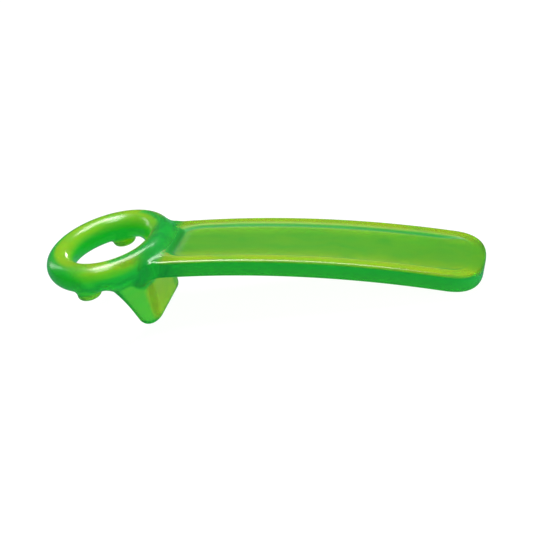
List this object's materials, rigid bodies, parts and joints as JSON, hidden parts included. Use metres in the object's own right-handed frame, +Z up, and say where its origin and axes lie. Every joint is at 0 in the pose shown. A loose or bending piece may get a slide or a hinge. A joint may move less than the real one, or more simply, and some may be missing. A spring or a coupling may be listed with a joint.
{
  "type": "jar lid opener",
  "caption": "Green plastic jar lid opener: round finger ring with pegs below it, a claw that hooks under a lid's rim, and a long bent handle with a thumb pocket.",
  "frame": {"origin": "middle of the footprint, on the surface that the claw's lip and the handle's end rest on", "axes": "+X along the handle from the ring to its end, +Z up, Y across the ring"},
  "size_m": [0.16, 0.0502, 0.0302],
  "materials": {
    "green_plastic": "translucent green, glossy, fine satin grain in the thumb pocket"
  },
  "bodies": {
    "root": {"ring": "green_plastic", "handle": "green_plastic", "claw": "green_plastic", "left_peg": "green_plastic", "right_peg": "green_plastic"}
  },
  "joints": []
}
